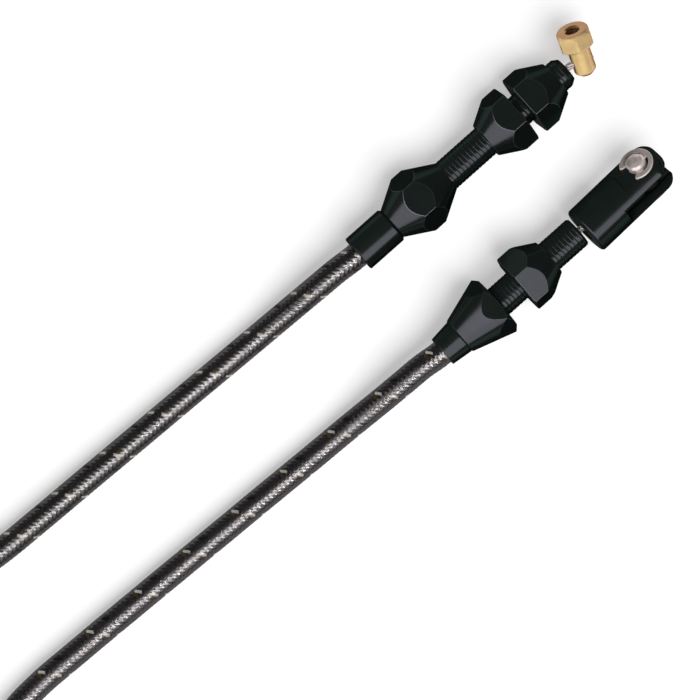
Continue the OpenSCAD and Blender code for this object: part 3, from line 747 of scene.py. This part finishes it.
def addFerrules():
    f = ferrules
    mouth, shoulder, r = f["stopMouth"], stopBody["neckX"] - f["gap"], f["stopRadius"]
    bevel, drop = f["mouthBevel"], f["shoulderBevel"]
    plain = ferrule([(mouth, r - bevel), (mouth + bevel, r), (shoulder - drop, r), (shoulder, r - drop)])
    addBlack("stopFerrule", plain, "cable", "stop_ferrule")
    tapered = ferrule([(f["clevisMouth"], f["small"]), (-clevisBody["length"] - f["gap"], f["large"])])
    addBlack("clevisFerrule", inFrame(tapered, clevisEnd), "cable", "clevis_ferrule")


addFerrules()
print("bodies and ferrules turned")

# Stranded wire: six strands laid round a core; aside is any direction off the wires' own
wire = {"radius": 0.9, "strands": 6, "lead": 12.0, "segments": 48, "aside": (0.31, 0.42, 0.85),
    "cap": (1, 0.6, 0.05), "inside": 40, "insideSteps": 160, "bendSteps": 14, "pastStop": 2.7,
    "restSteps": 26, "clevisSpan": (-13.3, 34.3), "clevisSteps": 190}


def strandedWire(line):
    ahead = unit(np.gradient(line, axis=0))
    side = unit(np.cross(ahead, wire["aside"]))
    a = np.linspace(0, 2 * np.pi, wire["segments"], endpoint=False)
    part = np.pi / wire["strands"]
    lobe = (a + part) % (2 * part) - part
    third = wire["radius"] / 3
    radius = 2 * third * np.cos(lobe) + np.sqrt(np.maximum(third**2 - (2 * third * np.sin(lobe)) ** 2, 0))
    turned = a[None] + 2 * np.pi * distances(line)[:, None] / wire["lead"]
    points = ringPoints(line, side, np.cross(ahead, side), radius, turned)
    shells = [(points.reshape(-1, 3), gridQuads(len(line), len(a)))]
    for ring, flip in ((points[0], True), (points[-1], False)):
        shrunk = [ring.mean(0) + (ring - ring.mean(0)) * share for share in wire["cap"]]
        cap = gridQuads(len(shrunk), len(a))
        shells.append((np.concatenate(shrunk), cap[:, ::-1] if flip else cap))
    return joined(*shells)


def onAxis(x):
    return np.stack([x, 0 * x, 0 * x], 1)


def bentLine():
    straight = onAxis(np.linspace(stopBody["noseX"] - wire["inside"], bend["start"], wire["insideSteps"]))
    angles = np.radians(np.linspace(0, bend["angle"], wire["bendSteps"])[1:])
    r = bend["radius"]
    arc = np.stack([r * np.sin(angles), r - r * np.cos(angles), 0 * angles], 1)
    rest = onAxis(np.linspace(0, bend["toStop"] + wire["pastStop"], wire["restSteps"])[1:])
    return np.concatenate([straight, placed(arc, bendPlace), placed(rest, pastBend(0))])


def addWire(name, line, body, replaces):
    addPiece(name, strandedWire(line), body, strand, (replaces,), flip=True)


addWire("stopWire", bentLine(), "stop_end_wire", "stop_wire")
clevisLine = placed(onAxis(np.linspace(*wire["clevisSpan"], wire["clevisSteps"])), clevisEnd)
addWire("clevisWire", clevisLine, "clevis_end_wire", "clevis_wire")
print("wires laid")


# A solid carved out of space: its field is negative inside it, and soft is how far an edge is rounded
def smoothMax(a, b, soft):
    return np.maximum(a, b) + np.maximum(soft - np.abs(a - b), 0) ** 2 / (4 * soft)


def smoothMin(a, b, soft):
    return -smoothMax(-a, -b, soft)


carving = {"passes": 4, "probe": 0.01, "stride": 0.3, "leastSlope": 0.05}
cos45, cos30, tan30, tan60 = 0.707, 0.866, 0.577, 1.73


def carved(field, low, high, step):
    axes = [np.arange(a - 2 * step, b + 3 * step, step) for a, b in zip(low, high)]
    value = field(np.stack(np.meshgrid(*axes, indexing="ij"), -1))
    total, count, found = np.zeros(value.shape + (3,)), np.zeros(value.shape), []
    whole = np.eye(3, dtype=int)
    for a in range(3):
        b, c = whole[(a + 1) % 3], whole[(a + 2) % 3]
        before = np.take(value, range(value.shape[a] - 1), a)
        after = np.take(value, range(1, value.shape[a]), a)
        at = np.argwhere((before < 0) != (after < 0))
        v0, v1 = before[tuple(at.T)], after[tuple(at.T)]
        spot = at + (v0 / (v0 - v1))[:, None] * whole[a]
        four = [at, at - b, at - b - c, at - c]
        for cell in four:
            np.add.at(total, tuple(cell.T), spot)
            np.add.at(count, tuple(cell.T), 1)
        four = np.stack(four, 1)
        found.append(np.where((v0 < 0)[:, None, None], four, four[:, ::-1]))
    used = count > 0
    number = np.full(value.shape, -1)
    number[used] = np.arange(used.sum())
    points = total[used] / count[used][:, None] * step + [a[0] for a in axes]
    quads = number[tuple(np.concatenate(found).transpose(2, 0, 1))]
    probe, stride = carving["probe"], carving["stride"] * step
    for _ in range(carving["passes"]):
        nudges = probe * np.eye(3)
        slope = np.stack([(field(points + e) - field(points - e)) / (2 * probe) for e in nudges], -1)
        move = field(points) / np.maximum((slope**2).sum(-1), carving["leastSlope"])
        points = points - np.clip(move, -stride, stride)[:, None] * slope
    return points, quads


# Brass wire stop about Z: hexagonal head, shank with the wire's hole, threaded bore down the middle
brassStop = {"flat": 3.9, "hexTurn": 48.0, "top": 8.6, "topRadius": 3.68, "under": 4.0, "underRadius": 3.6,
    "shank": 2.68, "foot": -3.8, "footChamfer": 1.1, "wireHole": 1.0, "bore": 1.6, "boreThread": 0.09,
    "borePitch": 0.75, "boreEnd": -0.9, "mouth": 0.35, "corner": 0.4, "rim": 0.25, "edge": 0.2,
    "crisp": 0.15, "boreEdge": 0.12, "join": 0.1, "reach": 4.6, "step": 0.11}


def stopField(p):
    x, y, z = np.moveaxis(p, -1, 0)
    r, s, edge, crisp = np.hypot(x, y), brassStop, brassStop["edge"], brassStop["crisp"]
    angles = [math.radians(s["hexTurn"] + 60 * k) for k in range(6)]
    sides = [x * math.cos(a) + y * math.sin(a) - s["flat"] for a in angles]
    head = sides[0]
    for side in sides[1:]:
        head = smoothMax(head, side, s["corner"])
    upper = (z - s["top"] + (r - s["topRadius"]) * tan60) * 0.5
    lower = (s["under"] + (r - s["underRadius"]) * tan30 - z) * cos30
    for face, soft in ((upper, crisp), (z - s["top"], s["rim"]), (lower, edge), (s["under"] - z, crisp)):
        head = smoothMax(head, face, soft)
    shank = smoothMax(r - s["shank"], (r - z - s["shank"] + s["footChamfer"] + s["foot"]) * cos45, edge)
    shank = smoothMax(smoothMax(shank, s["foot"] - z, edge), z - s["under"], s["join"])
    wave = np.cos(2 * np.pi * z / s["borePitch"] - np.arctan2(y, x))
    bore = np.maximum(r - s["bore"] - s["boreThread"] * wave, s["boreEnd"] - z)
    mouth = (r - z + s["top"] - s["bore"] - s["mouth"]) * cos45
    whole = smoothMax(smoothMin(head, shank, edge), -bore, s["boreEdge"])
    whole = smoothMax(whole, -mouth, s["boreEdge"])
    return smoothMax(whole, s["wireHole"] - np.hypot(y, z), crisp)


def addWireStop():
    reach = brassStop["reach"]
    low, high = (-reach, -reach, brassStop["foot"]), (reach, reach, brassStop["top"])
    shell = inFrame(carved(stopField, low, high, brassStop["step"]), stopPlace)
    addPiece("wireStop", shell, "stop_end_wire", brass, ("cable_stop",))


addWireStop()
print("wire stop carved")

# Clevis: slotted barrel with rounded ears, bored for the wire and its terminal
fork = {"rear": 0.0, "radius": 6.25, "chamfer": 0.5, "tipX": 25.5, "nose": 4.1, "ear": 6.1, "earEdge": 0.3,
    "pinX": 19.4, "hole": 2.43, "slot": 2.6, "slotX": 9.7, "flat": 5.1, "flatX": 13.1, "wireHole": 2.4,
    "seat": 4.1, "seatX": 5.5, "edge": 0.16, "reach": 6.3, "step": 0.14}


def forkField(p):
    x, y, z = np.moveaxis(p, -1, 0)
    r, f, edge = np.hypot(y, z), fork, fork["edge"]
    ahead, out = x - f["tipX"] + f["nose"], r - f["radius"] + f["nose"]
    barrel = np.hypot(np.maximum(ahead, 0), np.maximum(out, 0)) + np.minimum(np.maximum(ahead, out), 0)
    whole = smoothMax(barrel - f["nose"], f["rear"] - x, edge)
    whole = smoothMax(whole, (r - x + f["rear"] - f["radius"] + f["chamfer"]) * cos45, edge)
    ear = np.hypot(np.maximum(x - f["pinX"], 0), y * f["ear"] / f["radius"]) - f["ear"]
    whole = smoothMax(whole, ear, f["earEdge"])
    flats = np.maximum(f["flat"] - np.abs(z), f["flatX"] - x)
    slot = np.maximum(np.abs(z) - f["slot"], f["slotX"] - x)
    seat = np.maximum(r - f["seat"], f["seatX"] - x)
    for cut in (flats, slot, np.hypot(x - f["pinX"], y) - f["hole"], r - f["wireHole"], seat):
        whole = smoothMax(whole, -cut, edge)
    return whole


def addFork():
    reach = fork["reach"]
    shell = carved(forkField, (fork["rear"], -reach, -reach), (fork["tipX"], reach, reach), fork["step"])
    addBlack("clevisFork", inFrame(shell, clevisPlace), "clevis", "clevis", flip=False)


addFork()
print("clevis carved")

# Clevis pin about Z: headed, with a domed tip and a groove for the clip; inside is how far the ears hide
# it, and how far the painted shade on it reaches either side of its middle
pin = {"radius": 2.38, "head": 3.95, "headX": -5.15, "headT": 0.9, "headBevel": 0.5, "groove": 1.85,
    "grooveFrom": 5.1, "grooveTo": 5.84, "end": 7.34, "dome": 0.95, "domeShare": 0.4, "domeDrop": 0.45,
    "tip": 0.9, "middle": 0.02, "inside": 4.9, "sides": 72}
pinPlace = clevisPlace @ shift(fork["pinX"], 0, 0)


def pinShell():
    p, top, low, r = pin, pin["end"], pin["headX"] - pin["headT"], pin["radius"]
    head, bevel, start, stop = p["head"], p["headBevel"], p["grooveFrom"], p["grooveTo"]
    profile = softened([(low, p["middle"], 0), (low, head - bevel, 0.3), (low + bevel, head, 0.25),
        (p["headX"], head, 0.1), (p["headX"], r, 0.1), (start, r, 0.08), (start, p["groove"], 0.05),
        (stop, p["groove"], 0.05), (stop, r, 0.12),
        (top - p["dome"], r, 0.3), (top - p["domeShare"] * p["dome"], r - p["domeDrop"], 0.3),
        (top, p["tip"], 0.5), (top, p["middle"], 0)])
    return lathe(lambda _: profile, roundAngles(p["sides"]), closed=False, upright=True)


# The pin's steel is painted dark between the clevis ears: painted shade where the ears and the slot shade
# it
pinAxis, pinMiddle = pinPlace[:3, 2], pinPlace[:3, 3]
pinSteel = steelMetal("pinSteel", steelLook, (tuple(pinAxis), float(pinAxis @ pinMiddle), pin["inside"]))
addPiece("clevisPin", inFrame(pinShell(), pinPlace), "pin", pinSteel, ("clevis_pin",),
    flip=True)

# Retaining clip: open ring with three lugs, its mouth towards -X
clip = {"outer": 4.2, "ring": 1.15, "thick": 0.64, "z": 5.15, "turn": 9.0, "mouth": 38.0, "inner": 1.9,
    "groove": 1.85, "lug": 0.95, "lugTurn": 118, "lugIn": 0.5, "web": 0.3, "innerEdge": 0.1,
    "mouthEdge": 0.35, "edge": 0.18, "step": 0.09}


def turnedBack(x, y, degrees):
    a = math.radians(degrees)
    return x * math.cos(a) + y * math.sin(a), y * math.cos(a) - x * math.sin(a)


def clipField(p):
    x, y, z = np.moveaxis(p, -1, 0)
    r, c = np.hypot(x, y), clip
    x, y = turnedBack(x, y, c["turn"])
    flat = np.maximum(r - c["outer"], c["outer"] - c["ring"] - r)
    for degrees in (-c["lugTurn"], 0, c["lugTurn"]):
        u, v = turnedBack(x, y, degrees)
        lug = np.maximum(np.abs(v) - c["lug"], np.maximum(c["groove"] - u, u - c["outer"] + c["lugIn"]))
        flat = smoothMin(flat, lug, c["web"])
    flat = smoothMax(flat, c["inner"] - r, c["innerEdge"])
    half = math.radians(c["mouth"])
    flat = smoothMax(flat, -(np.abs(y) * math.cos(half) + x * math.sin(half)), c["mouthEdge"])
    return smoothMax(flat, np.abs(z - c["z"] - c["thick"] / 2) - c["thick"] / 2, c["edge"])


def addClip():
    outer, z = clip["outer"], clip["z"]
    shell = carved(clipField, (-outer, -outer, z), (outer, outer, z + clip["thick"]), clip["step"])
    addPiece("pinClip", inFrame(shell, pinPlace), "pin", steel, ("pin_clip",))


addClip()
print("pin and clip made")

# Strap round the coil's two turns, where they lie on each other
strap = {"angle": 105.0, "width": 9.0, "thick": 0.6, "gap": 0.05, "sideGap": 0.1, "corner": 3.0,
    "cornerSteps": 13, "steps": 15, "bead": 0.12, "beadWidth": 1.0, "uvRound": 0.7, "uvAlong": 0.64,
    "dark": (0.008, 0.008, 0.009, 1), "pale": (0.022, 0.022, 0.024, 1), "roughness": 0.75,
    "cloud": 2.0, "detail": 3.0, "weave": 9.0, "grain": 0.06}


def strapMaterial():
    material, tree = newMaterial("tieStrap")
    a, b = (maths(tree, "SINE", times(tree, part, strap["weave"])) for part in uvCell(tree, "weave"))
    cloud = grain(tree, strap["cloud"], strap["detail"])
    colour = blended(tree, cloud, strap["dark"], strap["pale"])
    finished(tree, Base_Color=colour, Roughness=strap["roughness"],
        Normal=dented(tree, times(tree, a, b), strap["grain"]))
    return material


# The strap's section: four rounded corners, each spot with its outward direction
def strapSection():
    half, gap, r = sheath["diameter"] / 2, strap["gap"], strap["corner"]
    low, high, wide = -half - gap, coil["pitch"] + half + gap, half + gap + strap["sideGap"]
    spots = []
    for x, z, start in ((wide - r, high - r, 0), (r - wide, high - r, 90), (r - wide, low + r, 180),
            (wide - r, low + r, 270)):
        for a in np.radians(np.linspace(start, start + 90, strap["cornerSteps"])):
            spots.append((x + r * math.cos(a), z + r * math.sin(a), math.cos(a), math.sin(a)))
    return np.array(spots)


def addStrap():
    section, half, bead = strapSection(), strap["width"] / 2, strap["bead"]
    along = np.linspace(-half, half, strap["steps"])
    angles = np.radians(strap["angle"]) + along / coil["radius"]
    outside = strap["thick"] - bead + bead * (np.abs(along) > half - strap["beadWidth"])
    rows = []
    for angle, out in list(zip(angles, outside)) + [(angle, 0.0) for angle in angles[::-1]]:
        reach = coil["radius"] + (section[:, 0] + section[:, 2] * out)
        x, y = coil["x"] + reach * math.cos(angle), coil["y"] + reach * math.sin(angle)
        rows.append(np.stack([x, y, coil["low"] + (section[:, 1] + section[:, 3] * out)], 1))
    count = len(section)
    quads = gridQuads(len(rows), count, roundRows=True)
    shell = np.array(rows).reshape(-1, 3), quads
    piece = addPiece("tieStrap", shell, "cable", strapMaterial(), ("coil_tie",))
    u, v = (quads % count) * strap["uvRound"], (quads // count) * strap["uvAlong"]
    wholeTurn = count * strap["uvRound"]
    u = np.where(u - u[:, :1] < -wholeTurn / 2, u + wholeTurn, u)
    addUvs(piece, "weave", np.stack([u, v], -1))
    return piece


strapPiece = addStrap()
print("strap tied")

# Liner and inner wire inside the sheath, along the same curve
core = {"every": 16, "liner": 1.7, "linerSides": 12, "wire": 0.9, "wireSides": 10}


def plainTube(line, radius, sides):
    side, up = crossings(line)
    points = ringPoints(line, side, up, radius, np.radians(roundAngles(sides)))
    return points.reshape(-1, 3), gridQuads(len(line), sides)


inside = sheathLine[:: core["every"]]
tube = plainTube(inside, core["liner"], core["linerSides"])
linerPiece = addPiece("liner", tube, "cable", nylon, ("sheath_liner",))
tube = plainTube(inside[:-1], core["wire"], core["wireSides"])
wirePiece = addPiece("innerWire", tube, "cable", strand, ("inner_wire",))

# Finishes of the CAD nodes that stay
finishes = {"stop_liner": nylon, "clevis_liner": nylon, "stop_screw": darkSteel, "wire_terminal": steel}
for name, material in finishes.items():
    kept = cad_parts[name]
    kept.data.materials.clear()
    kept.data.materials.append(material)

# Floor and surroundings: both show as white behind the part and in its metal; floorHalf is in metres
studio = {"floor": (0.6, 0.6, 0.606, 1), "floorGlow": 0.46, "floorHalf": 6.0, "floorGap": 0.02,
    "ambient": 0.09, "wall": 1.0, "wallFade": (0.04, 0.08)}


def rays(tree):
    path = node(tree, "LightPath").outputs
    either = maths(tree, "MAXIMUM", path["Is Camera Ray"], path["Is Glossy Ray"])
    return maths(tree, "MAXIMUM", either, path["Is Transmission Ray"]), path["Is Camera Ray"]


def addFloor():
    mesh = bpy.data.meshes.new("floor")
    half, z = studio["floorHalf"], (layout["table"] - studio["floorGap"]) * mm
    corners = [(-half, -half, z), (half, -half, z), (half, half, z), (-half, half, z)]
    mesh.from_pydata(corners, [], [(0, 1, 2, 3)])
    floor = bpy.data.objects.new("floor", mesh)
    scene.collection.objects.link(floor)
    material, tree = newMaterial("floor")
    seen, _ = rays(tree)
    plain = node(tree, "BsdfDiffuse", None, Color=studio["floor"])
    glow = node(tree, "Emission", None, Strength=times(tree, seen, studio["floorGlow"]))
    ended(tree, node(tree, "AddShader", None, i0=plain.outputs[0], i1=glow.outputs[0]))
    mesh.materials.append(material)


def addWorld():
    world = bpy.data.worlds.new("world")
    scene.world = world
    world.use_nodes = True
    tree = world.node_tree
    tree.nodes.clear()
    seen, camera = rays(tree)
    up = node(tree, "SeparateXYZ", None, Vector=node(tree, "TexCoord").outputs["Generated"]).outputs[2]
    low = mapped(tree, up, *studio["wallFade"], 1.0, 0.0)
    wall = times(tree, maths(tree, "MAXIMUM", camera, times(tree, seen, low)), studio["wall"])
    strength = maths(tree, "MAXIMUM", wall, studio["ambient"])
    ended(tree, node(tree, "Background", None, Color=(1, 1, 1, 1), Strength=strength), "World")


addFloor()
addWorld()

# Lamps, in metres: a wide panel for the shine of each metal, and soft lamps that only light
def addLamp(name, pieces, place, size, radiance, turned=0.0, aim=None, colour=(1, 1, 1), diffuse=True,
        glossy=True):
    data = bpy.data.lights.new(name, "AREA")
    data.shape = "RECTANGLE"
    data.size, data.size_y = size
    data.energy = radiance * math.pi * size[0] * size[1]
    data.color = colour
    lamp = bpy.data.objects.new(name, data)
    lamp.location = place
    lamp.rotation_euler = (0, 0, math.radians(turned))
    if aim:
        lamp.rotation_euler = (Vector(aim) - Vector(place)).to_track_quat("-Z", "Y").to_euler()
    lamp.visible_diffuse, lamp.visible_glossy = diffuse, glossy
    lit = bpy.data.collections.new(name + "Only")
    for piece in pieces:
        lit.objects.link(piece)
    lamp.light_linking.receiver_collection = lit
    scene.collection.objects.link(lamp)


def piecesOf(*materials):
    return [piece for piece in meshes if piece.data.materials and piece.data.materials[0] in materials]


meshes = [piece for piece in scene.objects if piece.type == "MESH"]
blackPieces, brassPieces = piecesOf(black), piecesOf(brass)
brightPieces = piecesOf(steel, pinSteel, strand, darkSteel)
others = [piece for piece in meshes if piece not in blackPieces + brassPieces]
panel = {"place": (-5.16, -3.17, 3.0), "size": (10.94, 10.1), "turned": 35.2, "diffuse": False}
lamps = {
    "warmSide": {"pieces": brassPieces, "place": (-1.63, -1.26, 2.16), "size": (1.0, 1.0), "radiance": 51.0,
        "aim": (0.02, 0, 0), "colour": (1.0, 1.2, 1.0), "glossy": False},
    "warmPanel": {**panel, "pieces": brassPieces, "radiance": 0.35, "colour": (1.0, 1.12, 0.85)},
    "panel": {**panel, "pieces": blackPieces, "radiance": 5.8, "colour": (1.15, 0.81, 1.05)},
    "softPanel": {**panel, "pieces": brightPieces + [sheathPiece], "radiance": 1.75},
    "key": {"pieces": others, "place": (0.0, -2.1, 3.0), "size": (3.0, 3.0), "radiance": 6.4,
        "glossy": False},
    "topSoft": {"pieces": blackPieces, "place": (-1.0, 0.6, 3.0), "size": (2.0, 2.0), "radiance": 9.0,
        "glossy": False},
    "braidShine": {"pieces": [sheathPiece], "place": (0.0, -1.4, 3.0), "size": (4.0, 0.7),
        "radiance": 190.0, "diffuse": False},
}
for name, values in lamps.items():
    addLamp(name, **values)
scene.view_settings.view_transform = "Standard"
print("floor, surroundings and lamps set")
